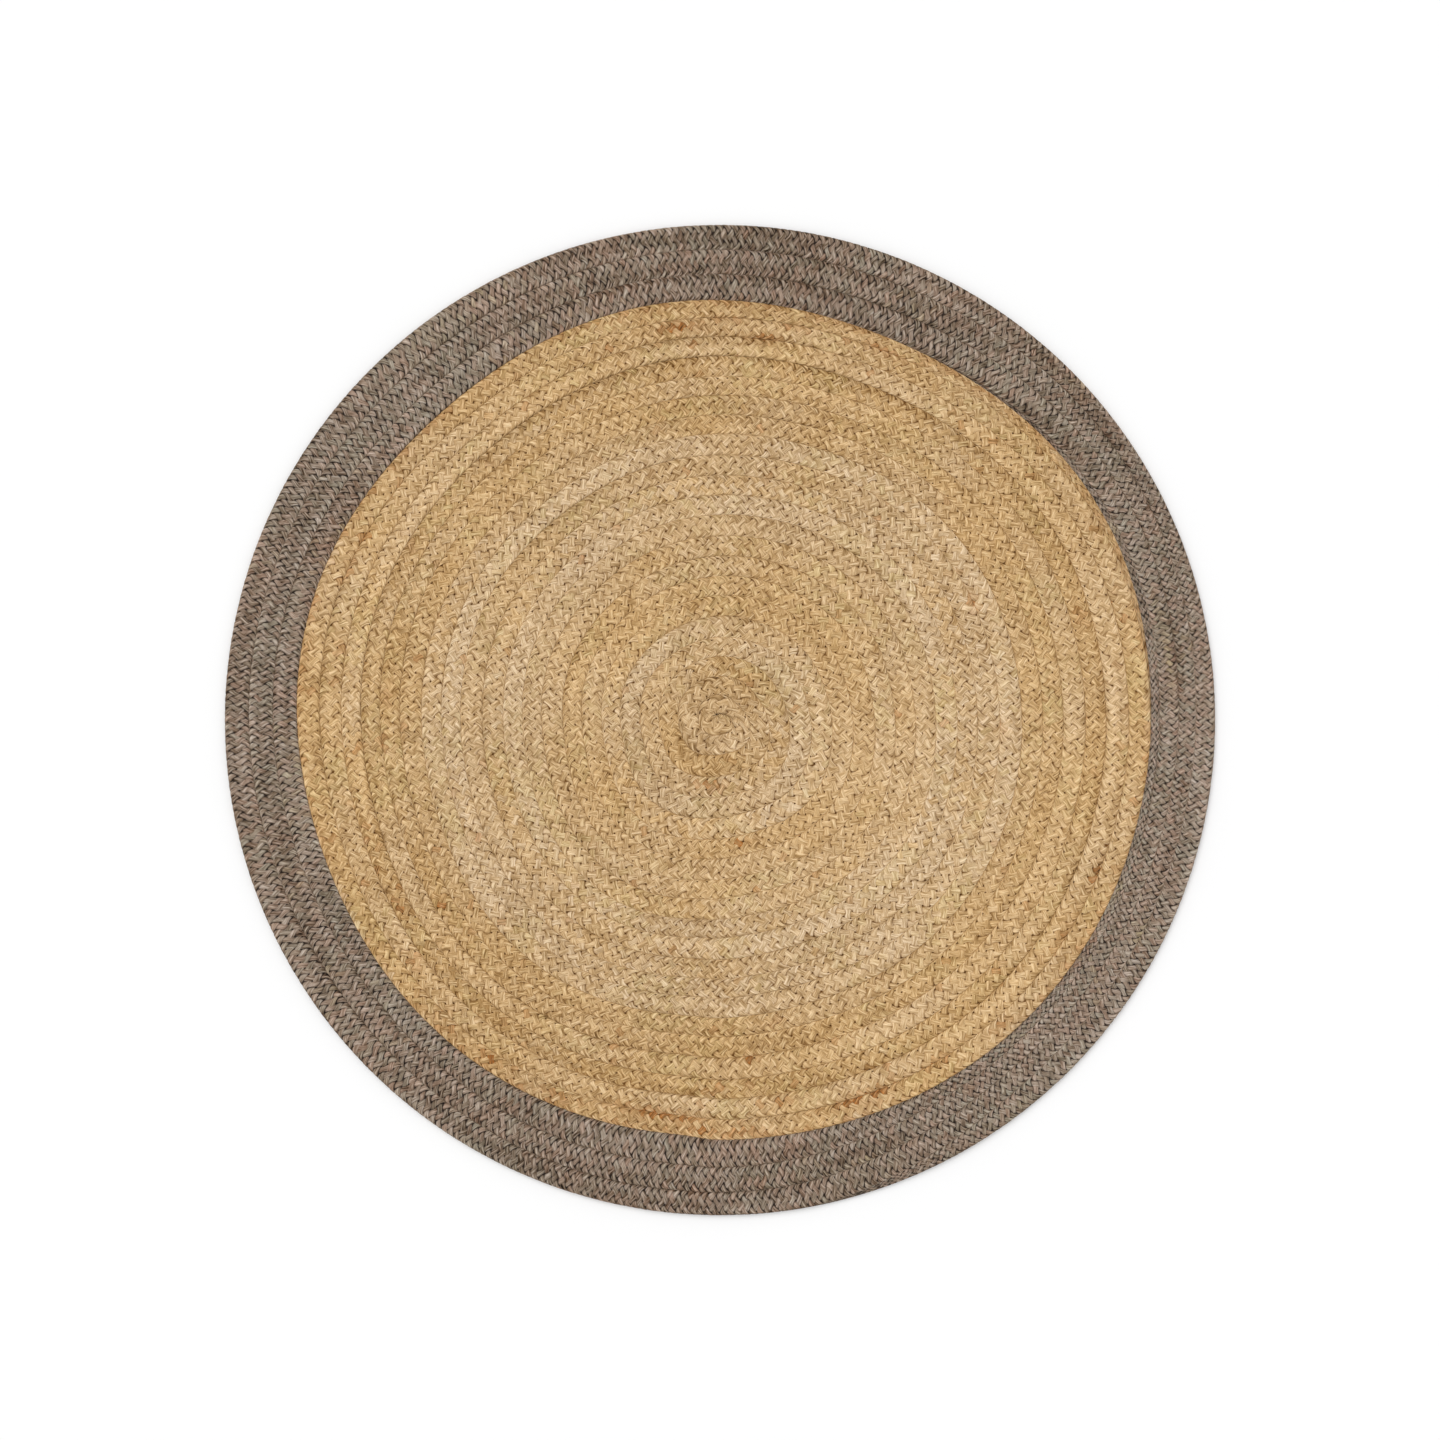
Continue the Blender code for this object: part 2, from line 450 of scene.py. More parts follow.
class RugSizes(bpy.types.PropertyGroup):
    """The sizes of the plaits"""

    radius: bpy.props.FloatProperty(
        name="Radius", description="From the rug's middle to its rim",
        default=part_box("grey_border")[1].x, unit="LENGTH")
    thickness: bpy.props.FloatProperty(
        name="Thickness", description="Height of the plait's crests over the floor",
        default=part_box("grey_border")[1].z, unit="LENGTH")
    natural_pitch: bpy.props.FloatProperty(
        name="Natural pitch", description="Length of one lobe and its gap along the natural plait",
        default=0.0121, unit="LENGTH")
    grey_pitch: bpy.props.FloatProperty(
        name="Grey pitch", description="Length of one lobe and its gap along the grey plait",
        default=0.0088, unit="LENGTH")
    top_relief: bpy.props.FloatProperty(
        name="Top relief", description="Depth of the gaps between the strands on the top",
        default=0.0026, unit="LENGTH")
    edge_relief: bpy.props.FloatProperty(
        name="Edge relief", description="Depth of the gaps where strands turn round the edge",
        default=0.0015, unit="LENGTH")
    under_relief: bpy.props.FloatProperty(
        name="Underside relief", description="Depth of the gaps between the strands below",
        default=0.0018, unit="LENGTH")


def colour_property(label, description, colour):
    """A colour that the user can change."""
    return bpy.props.FloatVectorProperty(
        name=label, description=description, subtype="COLOR", size=3, min=0.0, max=1.0,
        default=colour)


class RugColours(bpy.types.PropertyGroup):
    """The colours of the yarns, with the painted highlight on their crests and the painted shade in
    their gaps
    """

    pale: colour_property("Pale", "Bleached natural jute", srgb(208, 178, 139))
    gold: colour_property("Gold", "Golden natural jute", srgb(208, 170, 118))
    olive: colour_property("Olive", "Greenish natural jute", srgb(196, 172, 114))
    rust: colour_property("Rust", "Rust-coloured natural jute", srgb(180, 116, 56))
    # Painted highlight on the natural crests.
    natural_painted_highlight: colour_property("Natural shine", "Shiny natural fibres", srgb(250, 224, 176))
    # Painted shade in the gaps between natural strands.
    natural_gap_shade: colour_property("Natural gap", "Depths between natural strands", srgb(104, 64, 16))
    grey: colour_property("Grey", "Grey-dyed jute", srgb(155, 138, 122))
    brown: colour_property("Brown", "Reddish brown where the dye is thin", srgb(154, 120, 98))
    moss: colour_property("Moss", "Greenish grey jute", srgb(132, 128, 108))
    straw: colour_property("Straw", "Yellowish jute that took little dye", srgb(164, 144, 104))
    # Painted highlight on the grey crests.
    grey_painted_highlight: colour_property("Grey shine", "Shiny grey fibres", srgb(226, 210, 190))
    # Painted shade in the gaps between grey strands.
    grey_gap_shade: colour_property("Grey gap", "Depths between grey strands", srgb(44, 34, 28))


def smooth_step(share):
    """An easy rise from 0 to 1."""
    share = np.clip(share, 0.0, 1.0)
    return share * share * (3.0 - 2.0 * share)


def smooth_noise(place, seed):
    """Soft random waves from -1 to 1 along a line, one swing a unit."""
    knots = np.random.default_rng(seed).uniform(-1.0, 1.0, NOISE_KNOTS)
    low = np.floor(place).astype(int)
    share = smooth_step(place - low)
    return knots[low % NOISE_KNOTS] * (1.0 - share) + knots[(low + 1) % NOISE_KNOTS] * share


def field_radius(angle):
    """Distance from the centre to the line where natural plait meets grey plait."""
    radius = FIELD_MEAN_RADIUS
    for waves, swing, crest in FIELD_SWINGS:
        radius = radius + swing * np.cos(waves * (angle - math.radians(crest)))
    past_join = (angle - JOIN_ANGLE + math.pi) % math.tau - math.pi
    step = np.tanh(past_join / JOIN_SHARPNESS) * np.exp(-np.abs(past_join) / JOIN_REACH)
    return radius + JOIN_STEP * step


class Coil:
    """One coiled plait: where each of its turns lies and how long it is."""

    def __init__(self, turns, tapers, sways, pitch, is_field, rug_radius, seed, gaps, pits, seam):
        self.first, self.last = first, last = turns
        self.tapers = tapers
        self.sways, self.gaps, self.pits, self.seam = sways, gaps, pits, seam
        self.is_field, self.rug_radius, self.seed = is_field, rug_radius, seed
        samples = int((last - first) * SAMPLES_PER_TURN)
        self.turns = np.linspace(first, last, samples)
        inner, outer = self.edges(self.turns)
        x, y = self.on_floor(self.angle(self.turns), 0.5 * (inner + outer))
        steps = np.hypot(np.diff(x), np.diff(y))
        self.lengths = np.concatenate(((0.0,), np.cumsum(steps)))
        self.length = float(self.lengths[-1])
        self.rows = 2 * round(self.length / pitch)
        self.half_pitch = self.length / (self.rows + 1)

    def angle(self, turn):
        """Where a turn number points, anticlockwise from +X."""
        return JOIN_ANGLE - math.tau * turn

    def weight(self, turn):
        """How wide the plait is at a turn, as a share of its full width."""
        (grow, grow_power), (shrink, shrink_power) = self.tapers
        ends = np.minimum(
            smooth_step((turn - self.first) / grow) ** grow_power,
            smooth_step((self.last - turn) / shrink) ** shrink_power)
        noise = smooth_noise(turn * WIDTH_WAVES_PER_TURN, self.seed)
        return ends * (1.0 + WIDTH_UNEVENNESS * noise)

    def wound(self, turn):
        """Widths of all turns up to this one, added up along one spoke of the coil."""
        total = np.zeros_like(turn)
        for back in range(math.ceil(self.last - self.first) + 1):
            there = turn - back
            total += np.where(there >= self.first, self.weight(there), 0.0)
        return total

    def boundaries(self, turn):
        """Distances from the centre to both sides of a turn, before it is pressed."""
        edge = field_radius(self.angle(turn))
        start, end = (CENTRE_HOLE, edge) if self.is_field else (edge, self.rug_radius)
        whole = self.wound(turn + np.floor(self.last - turn + WHOLE_TURN_ROOM))
        outer = self.wound(turn)
        inner = outer - self.weight(turn)
        return start + (end - start) * inner / whole, start + (end - start) * outer / whole

    def edges(self, turn):
        """Inner and outer sides of the plait, pressed against the neighbouring turns."""
        inner, outer = self.boundaries(np.clip(turn, self.first, self.last))
        middle = 0.5 * (inner + outer)
        half = np.maximum(0.5 * (outer - inner), NARROWEST_HALF) + EDGE_PRESS
        inner = np.maximum(middle - half, 0.5 * CENTRE_HOLE)
        return inner, np.minimum(middle + half, self.rug_radius)

    def on_floor(self, angle, radius):
        """X and Y of a place on the coil, whose middle lies a little off the rug's."""
        edge = field_radius(angle)
        if self.is_field:
            share = np.clip(radius / edge, 0.0, 1.0)
            calm = 4.0 * share * (1.0 - share)
        else:
            share = np.ones_like(radius)
            past = (radius - edge) / (self.rug_radius - edge)
            calm = 4.0 * np.clip(past * (1.0 - past), 0.0, 1.0)
        for waves, swing, crest, twist in self.sways:
            sway = np.cos(waves * (angle - math.radians(crest)) + twist * share)
            radius = radius + calm * swing * sway
        drift = (1.0 - share) ** CENTRE_SHIFT_FADE
        x = radius * np.cos(angle) + CENTRE_SHIFT[0] * drift
        y = radius * np.sin(angle) + CENTRE_SHIFT[1] * drift
        return x, y

    def turn_at(self, length):
        """The turn number at a length along the plait."""
        return np.interp(length, self.lengths, self.turns)

    def noise(self, place, wave, seed, apart=0.0):
        """Soft random waves of one length along the plait."""
        return smooth_noise(place / wave + apart, self.seed + seed)


def natural_coil(sizes):
    """The natural plait, from the middle of the rug to the border."""
    return Coil(
        NATURAL_TURNS, NATURAL_TAPERS, NATURAL_SWAYS, sizes.natural_pitch, True, sizes.radius,
        NATURAL_SEED, NATURAL_GAPS, NATURAL_PITS, NATURAL_SEAM)


def grey_coil(sizes):
    """The grey plait, from the edge of the natural one to its end at the rim."""
    return Coil(
        GREY_TURNS, GREY_TAPERS, GREY_SWAYS, sizes.grey_pitch, False, sizes.radius,
        GREY_SEED, GREY_GAPS, GREY_PITS, GREY_SEAM)


def signed_power(value, power):
    """A power that keeps the value's sign."""
    return np.sign(value) * np.abs(value) ** power


def section(column, width, thickness):
    """Outline of the plait's cross-section at a column number, and its outward direction."""
    column = column % COLUMNS
    on_top = column < OUTER_EDGE
    across = np.where(on_top, column - 0.5, COLUMNS - 0.5 - column) * width / LOBES_ACROSS
    height = np.where(on_top, thickness, 0.0)
    out_up = np.where(on_top, 1.0, -1.0)
    round_outer = np.abs(column - OUTER_EDGE) < 1.0
    round_inner = (column < 1.0) | (column > COLUMNS - 1.0)
    side = np.where(round_outer, 1.0, -1.0)
    turned = np.where(round_outer, column - LOBES_ACROSS, 2.0 - (column + 1.0) % COLUMNS)
    turned = 0.5 * math.pi * np.clip(turned, 0.0, 2.0)
    sine, cosine = np.abs(np.sin(turned)), np.cos(turned)
    power = 2.0 / SECTION_SQUARENESS
    half_across, half_up = 0.5 * width / LOBES_ACROSS, 0.5 * thickness
    edge_middle = np.where(round_outer, width - half_across, half_across)
    edge_across = edge_middle + side * half_across * sine ** power
    edge_height = half_up * (1.0 + signed_power(cosine, power))
    edge_out = side * sine ** (2.0 - power) / half_across
    edge_out_up = signed_power(cosine, 2.0 - power) / half_up
    size = np.hypot(edge_out, edge_out_up)
    at_edge = round_outer | round_inner
    across = np.where(at_edge, edge_across, across)
    height = np.where(at_edge, edge_height, height)
    out_across = np.where(at_edge, edge_out / size, 0.0)
    out_up = np.where(at_edge, edge_out_up / size, out_up)
    return across, height, out_across, out_up


def dome(place, closed_low, closed_high):
    """Height along a lobe, which dives under its neighbour at a closed end."""
    low = np.where(closed_low, np.sin(0.5 * math.pi * np.clip(2.0 * place, 0.0, 1.0)), 1.0)
    rest = np.clip(2.0 - 2.0 * place, 0.0, 1.0)
    high = np.where(closed_high, np.sin(0.5 * math.pi * rest), 1.0)
    return low * high


def proud_profile(turn, across_share):
    """Lift, painted highlight and painted shade of the turns that stand proud."""
    lift = np.zeros_like(turn)
    light = np.zeros_like(turn)
    crest = np.exp(-((across_share - PROUD_CREST) / PROUD_CREST_REACH) ** 2)
    tilt = smooth_step(PROUD_TILT_FROM - PROUD_TILT * across_share)
    sunk = SUNK_SHARE * smooth_step((across_share - SUNK_FROM) / SUNK_OVER)
    shaded = smooth_step((across_share - SHADED_FROM) / SHADED_OVER)
    for start, end, rise, bright, deep in PROUD_TURNS:
        for turns_out in (0.0, 1.0):
            inner = turn - turns_out
            share = smooth_step((inner - start) / PROUD_FADE + 0.5)
            share = share * smooth_step((end - inner) / PROUD_FADE + 0.5)
            if turns_out:
                lift += share * rise * tilt
                light += share * bright * crest
            else:
                lift -= share * rise * sunk
                light -= share * deep * shaded
    return lift, light


def lobe_shape(coil, cell_a, cell_b, a, b):
    """Height and painted pit shade of each point of a lobe, and its place, pushed along both
    strands.
    """
    column = (cell_a - cell_b) % COLUMNS
    rising = LEAN[column] == RISING
    above = LEAN[(column + 1) % COLUMNS] != LEAN[column]
    below = LEAN[(column - 1) % COLUMNS] != LEAN[column]
    dice = np.random.default_rng(coil.seed + LOBE_SEED)
    rows = coil.rows + SPARE_ROWS
    lobe_size = dice.uniform(1.0 - LOBE_UNEVENNESS, 1.0, (rows, STRANDS))
    corner_push = dice.uniform(-1.0, 1.0, (rows, STRANDS, 2)) * CORNER_JITTER
    gape = dice.uniform(0.0, 1.0, (3, rows, STRANDS))
    deepest, rarity = coil.pits
    pit_depth = dice.uniform(0.0, 1.0, (rows, STRANDS)) ** rarity * deepest

    def lobe_at(cell_a, cell_b):
        row = np.clip(cell_a + cell_b + SPARE_ROWS_BEFORE, 0, rows - 1)
        return row, ((cell_a - cell_b) % COLUMNS) // 2

    # A lobe's sides are pressed shut in most places and gape in some, most of all where
    # four lobes meet. Heights go from 0 in the deepest gap to 1 on a crest.
    (crease_height, side_gape, side_rarity), corner_gaps = coil.gaps
    corner_height, corner_gape, corner_rarity = corner_gaps
    own = lobe_at(cell_a, cell_b)
    on_a, on_b = a == 0.0, b == 0.0
    bottom = np.full(len(a), crease_height - BURIED_DROP)
    bottom = np.where(on_a, (crease_height - side_gape * gape[0] ** side_rarity)[own], bottom)
    bottom = np.where(on_b, (crease_height - side_gape * gape[1] ** side_rarity)[own], bottom)
    corner = (corner_height - corner_gape * gape[2] ** corner_rarity)[own]
    bottom = np.where(on_a & on_b, corner, bottom)
    edge_a = np.sqrt(np.clip(1.0 - (2.0 * a - 1.0) ** LOBE_SQUARENESS, 0.0, 1.0))
    edge_b = np.sqrt(np.clip(1.0 - (2.0 * b - 1.0) ** LOBE_SQUARENESS, 0.0, 1.0))
    body = np.where(rising, edge_b * dome(a, below, above), edge_a * dome(b, above, below))
    height = bottom + (lobe_size[own] - bottom) * body

    # Strands are narrower than their pitch, so each lobe is longer than it is wide.
    bow_a, bow_b = STRAND_BULGE * np.sin(math.pi * b), STRAND_BULGE * np.sin(math.pi * a)
    high_a, low_a = np.clip(2.0 * a - 1.0, 0.0, 1.0), np.clip(1.0 - 2.0 * a, 0.0, 1.0)
    high_b, low_b = np.clip(2.0 * b - 1.0, 0.0, 1.0), np.clip(1.0 - 2.0 * b, 0.0, 1.0)
    sign = np.where(rising, 1.0, -1.0)
    moved_a = a + sign * bow_a * (above * high_a - below * low_a)
    moved_b = b + sign * bow_b * (above * low_b - below * high_b)

    # Corners are pushed about together, so the lobes round them stay joined.
    push, pit = np.zeros((len(a), 2)), np.zeros(len(a))
    reach_a = np.where(rising, PIT_REACH[0], PIT_REACH[1])
    reach_b = np.where(rising, PIT_REACH[1], PIT_REACH[0])
    for step_a, step_b, share in (
            (0, 0, (1 - a) * (1 - b)), (1, 0, a * (1 - b)), (0, 1, (1 - a) * b), (1, 1, a * b)):
        corner = lobe_at(cell_a + step_a, cell_b + step_b)
        push += corner_push[corner] * share[:, None]
        gone = np.hypot((a - step_a) / reach_a, (b - step_b) / reach_b)
        pit = np.maximum(pit, pit_depth[corner] * np.exp(-gone * gone))
    return height, pit, cell_a + moved_a + push[:, 0], cell_b + moved_b + push[:, 1]


def turn_shade(coil, length, turn, share, edge_share, light):
    """Depth of the seams beside each place, and the painted light and shade that its turn adds."""
    pull = coil.noise(length, SEAM_WAVE, PULL_SEED, EDGE_APART * (share > 0.5))
    tight, gaping = coil.seam
    seam = tight + (gaping - tight) * np.clip(0.5 + SEAM_SWING * pull, 0.0, 1.0)
    rounding = TURN_ROUNDING_SHADE * (1.0 + pull)
    # Painted light on two opposite sides of the rug.
    past_lit_side = coil.angle(turn) - LIT_SIDE
    side_light = BOTH_SIDES_LIT * np.cos(2.0 * past_lit_side) + ONE_SIDE_LIT * np.cos(past_lit_side)
    if coil.is_field:
        grown = OUTER_SEAMS * smooth_step((turn - OUTER_SEAMS_FROM) / OUTER_SEAMS_OVER)
        seam = seam * (1.0 + grown)
        rounding = rounding * grown
        light = light + FIELD_LIT_SHARE * side_light
    else:
        rounding = rounding * GREY_ROUNDING_SHADE
        # Painted shade along a grey turn's seams and middle.
        line_shade = GREY_LINE_SHADE * (1.0 + coil.noise(length, GREY_LINE_WAVE, LINE_SEED))
        light = light + side_light - line_shade * np.cos(4.0 * math.pi * share)
    # Painted shade along gaping seams.
    light = light - SEAM_DARKNESS * seam * smooth_step(SEAM_SPREAD * edge_share)
    # Painted shade on a turn's edges and painted light on its middle, by as much, as on a rounded
    # turn.
    return seam, light - rounding * ((2.0 * share - 1.0) ** 2 - 1.0 / 3.0)


def lattice_points(coil, first_row, last_row, sizes):
    """Every point of the strands' surface between two rows of lobes."""
    start = FINE_STEPS * first_row
    levels = FINE_STEPS * (last_row - first_row) + FINE_STEPS + 1
    along = np.repeat(np.arange(start, start + levels), POINTS_AROUND)
    around = 2 * np.tile(np.arange(POINTS_AROUND), levels) + along % 2
    fine_a, fine_b = (along + around) // 2, (along - around) // 2
    cell_a, cell_b = fine_a // FINE_STEPS, fine_b // FINE_STEPS
    a, b = FINE_PLACES[fine_a % FINE_STEPS], FINE_PLACES[fine_b % FINE_STEPS]
    height, pit, place_a, place_b = lobe_shape(coil, cell_a, cell_b, a, b)

    length = np.clip((place_a + place_b) * coil.half_pitch, 0.0, coil.length)
    turn = coil.turn_at(length)
    inner, outer = coil.edges(turn)
    width = outer - inner
    fullness = np.clip(width / FULL_WIDTH, LEAST_FULLNESS, 1.0)
    thin = THINNEST_SHARE + (1.0 - THINNEST_SHARE) * smooth_step(fullness)
    thickness = sizes.thickness * thin
    across, up, out_across, out_up = section(place_a - place_b, width, thickness)
    from_edge = np.minimum(across, width - across) / (0.5 * width / LOBES_ACROSS)
    edge_share = 1.0 - np.clip(from_edge, 0.0, 1.0)
    flat_relief = np.where(out_up > 0.0, sizes.top_relief, sizes.under_relief)
    relief = flat_relief + (sizes.edge_relief - flat_relief) * smooth_step(edge_share)
    depth = relief * fullness * (1.0 - height)
    across = across - out_across * depth
    up = up - out_up * depth
    share = across / width
    lift, light = proud_profile(turn, share)
    up = np.maximum(up + lift * np.clip(up / thickness, 0.0, 1.0), 0.0)
    x, y = coil.on_floor(coil.angle(turn), inner + across)

    seam, light = turn_shade(coil, length, turn, share, edge_share, light)
    # Painted shade on the knobs where a plait narrows, through the crease.
    knobs = np.clip(coil.noise(length, KNOB_WAVE, KNOB_SEED), 0.0, 1.0)
    pit = pit + THIN_KNOB_SHADE * (1.0 - fullness) * knobs
    # The crease sets the painted shade of hollows, seams and pits, and the crests' painted
    # highlight.
    crease = np.clip(1.0 - height + seam * edge_share + pit, 0.0, DEEPEST_CREASE)
    # Dark spots deepen the crease and so its painted shade.
    for degrees, distance, reach in DARK_SPOTS:
        angle, distance = math.radians(degrees), distance / MILLIMETRES
        gone = np.hypot(x - distance * math.cos(angle), y - distance * math.sin(angle))
        crease = crease + DARK_SPOT_DEPTH * np.exp(-(gone * MILLIMETRES / reach) ** 2)

    # The hidden underside has lobes of four faces instead of sixteen.
    under = np.isin(np.arange(COLUMNS), UNDERSIDE_COLUMNS)
    column = (cell_a - cell_b) % COLUMNS
    plain = under[column]
    plain &= (fine_a % FINE_STEPS != 0) | under[(column - 1) % COLUMNS]
    plain &= (fine_b % FINE_STEPS != 0) | under[(column + 1) % COLUMNS]
    merged_a, merged_b = (
        np.where(plain & (fine % 2 == 1), FINE_STEPS // 2 - fine % FINE_STEPS, 0) + fine
        for fine in (fine_a, fine_b))
    return {
        "points": np.stack((x, y, up), axis=1), "crease": crease, "light": light,
        "merged": point_number(merged_a, merged_b, start), "start": start,
    }


def point_number(fine_a, fine_b, start):
    """The number of a lattice point, which is the same all the way round the plait."""
    along = fine_a + fine_b
    around = (fine_a - fine_b) % (2 * POINTS_AROUND)
    return (along - start) * POINTS_AROUND + around // 2


def lobe_cells(first_row, last_row):
    """The lobes between two rows: their place in the lattice and their columns."""
    row = np.repeat(np.arange(first_row, last_row), STRANDS)
    column = 2 * np.tile(np.arange(STRANDS), last_row - first_row) + row % 2
    return row, column, (row + column) // 2, (row - column) // 2


def stain_share(places, stains):
    """How strongly each place is stained by the nearest of some long soft stains."""
    x, y = places[:, 0], places[:, 1]
    share = np.zeros(len(places))
    for degrees, distance, along, across, strength in stains:
        angle = math.radians(degrees)
        out = x * math.cos(angle) + y * math.sin(angle)
        past = y * math.cos(angle) - x * math.sin(angle)
        bent = np.hypot(x, y) - distance / MILLIMETRES
        half_along, half_across = 0.5 * along / MILLIMETRES, 0.5 * across / MILLIMETRES
        gone = (past / half_along) ** 2 + (bent / half_across) ** 2
        share = np.maximum(share, np.where(out > 0.0, strength * np.exp(-gone), 0.0))
    return share


def natural_tints(coil, turn, length, strand_apart, lobe, slow, quick, light, places):
    """Gold, rust and olive shares of the natural yarn, and its lightness."""
    late = turn + BALE_BLUR * coil.noise(turn, BALE_WAVE, BALE_SEED, strand_apart)
    gold = np.full(len(turn), YARN_BALES[0][1])
    light = light + YARN_BALES[0][2]
    for (end, share, shade), (_, next_share, next_shade) in zip(YARN_BALES, YARN_BALES[1:]):
        change = smooth_step((late - end) / BALE_CHANGE + 0.5)
        gold += (next_share - share) * change
        light += (next_shade - shade) * change
    mood = coil.noise(length, GOLD_WAVE, MOOD_SEED)
    gold = np.clip(gold + GOLD_MOOD * mood + GOLD_QUICK * quick, 0.0, 1.0)
    bleached = stain_share(places, BLEACHED_EDGES)

    patchy = np.clip(STAIN_SHARE + STAIN_LOBE * lobe[:, 1], LEAST_STAIN, MOST_STAIN)
    rust = stain_share(places, RUST_STAINS) * patchy
    from_join = field_radius(np.arctan2(places[:, 1], places[:, 0]))
    from_join = from_join - np.hypot(places[:, 0], places[:, 1])
    at_join = np.clip(RUSTY_JOIN_SHARE + RUSTY_JOIN_LOBE * lobe[:, 1], 0.0, 1.0)
    rust = np.maximum(rust, at_join * smooth_step(1.0 - from_join / RUSTY_JOIN))
    far_out = smooth_step((turn - OUTER_FLECKS_FROM) / OUTER_FLECKS_OVER)
    fleck = lobe[:, 3] > RARE_FLECK - OUTER_FLECKS * far_out
    rust = np.maximum(rust, np.where(fleck, FLECK_SHARE + FLECK_LOBE * lobe[:, 1], 0.0))

    light = light + stain_share(places, PALE_STAINS) - RUST_DARKNESS * rust
    mood = coil.noise(length, OLIVE_WAVE, HUE_SEED)
    olive = OLIVE_MOOD * mood + OLIVE_SLOW * slow + OLIVE_LOBE * lobe[:, 2] - OLIVE_LESS
    light = light + BLEACHED_LIGHT * bleached
    return gold * (1.0 - bleached), rust, np.clip(olive, 0.0, MOST_OLIVE), light


def grey_tints(coil, length, lobe, slow, patch, stripe, light, places):
    """Brown, straw and moss shares of the grey yarn, and its lightness."""
    red = stain_share(places, RED_STAINS)
    mood = coil.noise(length, BROWN_WAVE, MOOD_SEED)
    brown = BROWN_SHARE + BROWN_MOOD * mood + BROWN_SLOW * slow + BROWN_LOBE * lobe[:, 1]
    brown = np.clip(np.clip(brown, 0.0, 1.0) + RED_BROWN * red, 0.0, 1.0)
    straw = stain_share(places, STRAW_STAINS) * (1.0 + STRAW_LOBE * lobe[:, 3])
    straw = np.maximum(straw, np.clip((patch - STRAW_FROM) * STRAW_STRENGTH, 0.0, MOST_STRAW))
    mood = coil.noise(length, MOSS_WAVE, HUE_SEED)
    moss = np.clip(MOSS_SHARE + MOSS_MOOD * mood + MOSS_LOBE * lobe[:, 2], 0.0, MOST_MOSS)
    light = GREY_CONTRAST * light + GREY_STRIPE_LIGHT * stripe - RED_DARKNESS * red
    return brown, straw, moss, light


def strand_tints(coil, row, column, places):
    """Yarn of each lobe: gold and rust or brown shares, olive or moss share, lightness."""
    strand = ((row + 1 - STRAND_ORDER[column]) // 2) % STRANDS
    length = row * coil.half_pitch
    dice = np.random.default_rng(coil.seed + TINT_SEED)
    lobe = dice.uniform(-1.0, 1.0, (coil.rows + SPARE_ROWS, COLUMNS, 4))
    lobe = lobe[row + SPARE_ROWS_BEFORE, column]
    apart = STRAND_APART * strand
    slow = coil.noise(length, SLOW_WAVE, SLOW_SEED, apart)
    quick = coil.noise(length, QUICK_WAVE, QUICK_SEED, apart)
    stripe = coil.noise(length, STRIPE_WAVE, STRIPE_SEED, COLUMN_APART * column)
    light = SLOW_LIGHT * slow + QUICK_LIGHT * quick
    light = light + LOBE_LIGHT * lobe[:, 0] + STRIPE_LIGHT * stripe
    if coil.is_field:
        turn = coil.turn_at(length)
        first, second, third, light = natural_tints(
            coil, turn, length, apart, lobe, slow, quick, light, places)
    else:
        patch = coil.noise(length, PATCH_WAVE, PATCH_SEED, apart)
        first, second, third, light = grey_tints(
            coil, length, lobe, slow, patch, stripe, light, places)
    return np.stack((first, np.clip(second, 0.0, 1.0), third, 1.0 + light), axis=1)


def fibre_places(coil, row, column, grid_a, grid_b):
    """Map of each lobe along and across its strand, in strand widths, for the fibres."""
    wrapped = np.where(column == COLUMNS - 1, -1, column)
    cell_a, cell_b = (row + wrapped) // 2, (row - wrapped) // 2
    rising = (LEAN[column] == RISING)[:, None, None]
    a = cell_a[:, None, None] + grid_a
    b = cell_b[:, None, None] + grid_b
    strand_pass = np.where(rising, cell_b[:, None, None], cell_a[:, None, None])
    dice = np.random.default_rng(coil.seed + SLANT_SEED)
    slant = dice.uniform(-FIBRE_SLANT, FIBRE_SLANT, (coil.rows + SPARE_ROWS, COLUMNS))
    slant = slant[row + SPARE_ROWS_BEFORE, column]
    past_middle = np.where(rising, grid_a, grid_b) - 0.5
    across = np.where(rising, grid_b, grid_a) + slant[:, None, None] * past_middle
    across = across + PASS_APART * (strand_pass % PASS_STRETCHES)
    return np.stack((np.where(rising, a, b), across), axis=-1)


def bake_places(row, column, grid_a, grid_b, first_row, last_row):
    """Map of the run laid out in strips side by side, for baking the materials to pictures."""
    strip_rows = math.ceil((last_row - first_row) / BAKE_STRIPS)
    strip = (row - first_row) // strip_rows
    start = (first_row + strip * strip_rows)[:, None, None]
    along = (row[:, None, None] - start + grid_a + grid_b) / (strip_rows + 1.0)
    around = (column[:, None, None] + grid_a - grid_b + 1.0) / (COLUMNS + 1.0)
    room = 1.0 / BAKE_STRIPS
    u = BAKE_MARGIN + along * (1.0 - 2.0 * BAKE_MARGIN - CAP_ROOM)
    v = strip[:, None, None] * room + BAKE_MARGIN / 2.0 + around * (room - BAKE_MARGIN)
    return np.stack((u, v), axis=-1)


def cap(loop, centre_number, end):
    """Triangles that close an end of the run, and the places of their corners on the map."""
    first, second = loop
    faces = np.stack((first, second, np.full(len(first), centre_number)), axis=1)
    share = np.arange(len(first)) / len(first) * math.tau
    centre = np.array((1.0 - CAP_ROOM / 2.0, CAP_HEIGHTS[end]))
    ring = np.stack((np.cos(share), np.sin(share)), axis=1) * CAP_ROOM * CAP_REACH + centre
    following = np.roll(ring, -1, axis=0)
    middle = np.broadcast_to(centre, ring.shape)
    return faces, np.stack((ring, following, middle), axis=1)


